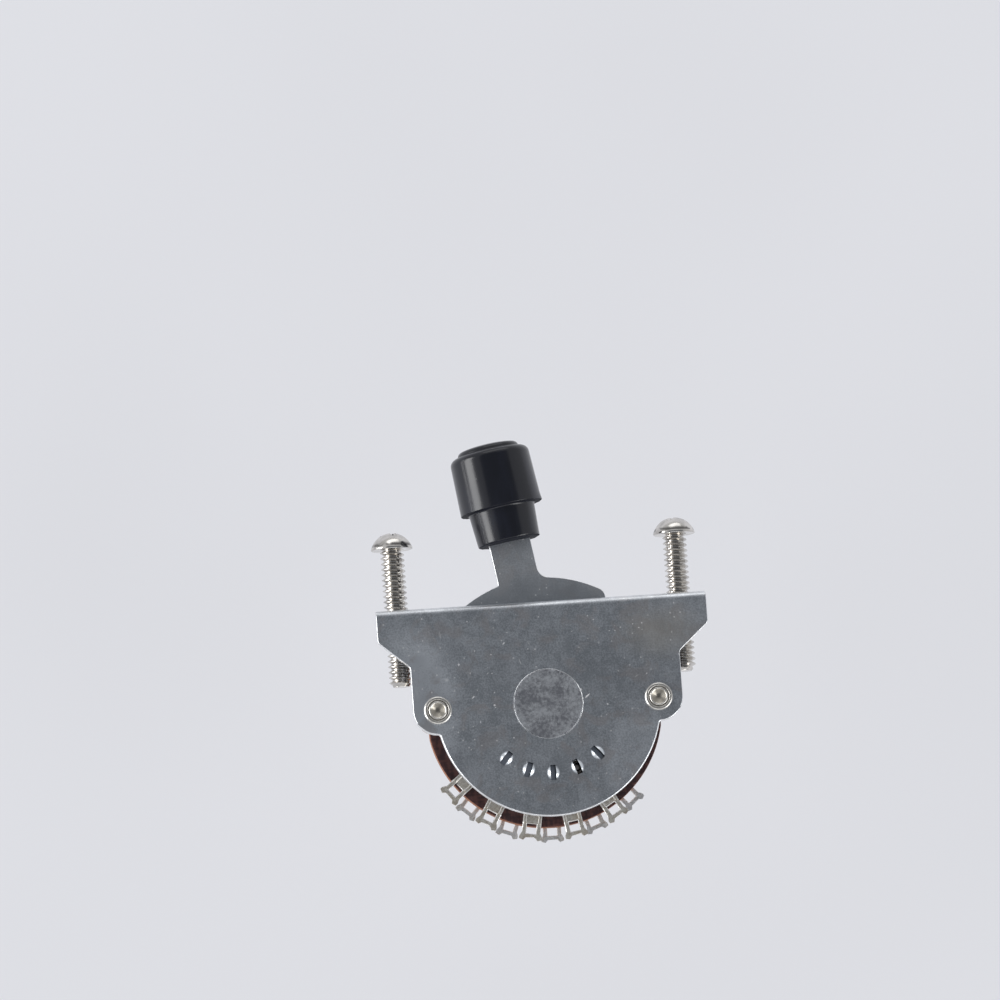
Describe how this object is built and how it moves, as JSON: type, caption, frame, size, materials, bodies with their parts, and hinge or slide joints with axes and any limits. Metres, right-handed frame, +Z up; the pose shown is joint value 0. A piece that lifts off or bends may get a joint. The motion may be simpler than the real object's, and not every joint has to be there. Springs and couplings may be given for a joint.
{
  "type": "lever selector switch",
  "caption": "Open-frame lever selector switch for guitar pickups: bent steel frame, barrel-knob lever, wafer with forked solder lugs, two fixing screws.",
  "frame": {"origin": "midway between the two fixing screws on the top face of the frame's flange", "axes": "+Z up out of the flange, the way the lever points; +X to the right seen from the front; +Y from the front plate towards the wafer"},
  "size_m": [0.0482, 0.016, 0.0585],
  "materials": {
    "zinc_plate": "satin zinc plate, bluish grey",
    "nickel_plate": "bright nickel plate, slightly warm",
    "silvered_brass": "dull silver plate",
    "spring_steel": "plain hardened strip",
    "phenolic_board": "dark red-brown laminate with paler cut edges",
    "rotor_board": "brown laminate",
    "ivory_plastic": "moulded, satin",
    "black_plastic": "glossy black moulding"
  },
  "bodies": {
    "frame": {"mounting_frame": "zinc_plate", "pivot_stud": "zinc_plate", "axle_washer": "zinc_plate", "left_spacer": "nickel_plate", "right_spacer": "nickel_plate", "left_rivet": "nickel_plate", "right_rivet": "nickel_plate", "left_screw": "nickel_plate", "right_screw": "nickel_plate", "stator_wafer": "phenolic_board", "lug_front_1": "silvered_brass", "lug_front_2": "silvered_brass", "lug_front_3": "silvered_brass", "lug_front_4": "silvered_brass", "lug_front_5": "silvered_brass", "lug_rear_1": "silvered_brass", "lug_rear_2": "silvered_brass", "lug_rear_3": "silvered_brass", "lug_rear_4": "silvered_brass", "lug_rear_5": "silvered_brass"},
    "lever": {"lever_blade": "zinc_plate", "lever_knob": "black_plastic", "index_spring": "spring_steel", "index_spring_rivets": "nickel_plate", "drive_hub": "ivory_plastic", "rotor_disc": "rotor_board", "rotor_contact_front": "silvered_brass", "rotor_contact_rear": "silvered_brass", "rotor_rivets": "nickel_plate"}
  },
  "joints": [
    {"name": "lever_throw", "type": "hinge", "parent": "frame", "child": "lever", "pos_m": [0, 0, -0.01505], "axis": [0, 1, 0], "range_deg": [-16.45, 34.55], "deforming": ["index_spring"]}
  ]
}
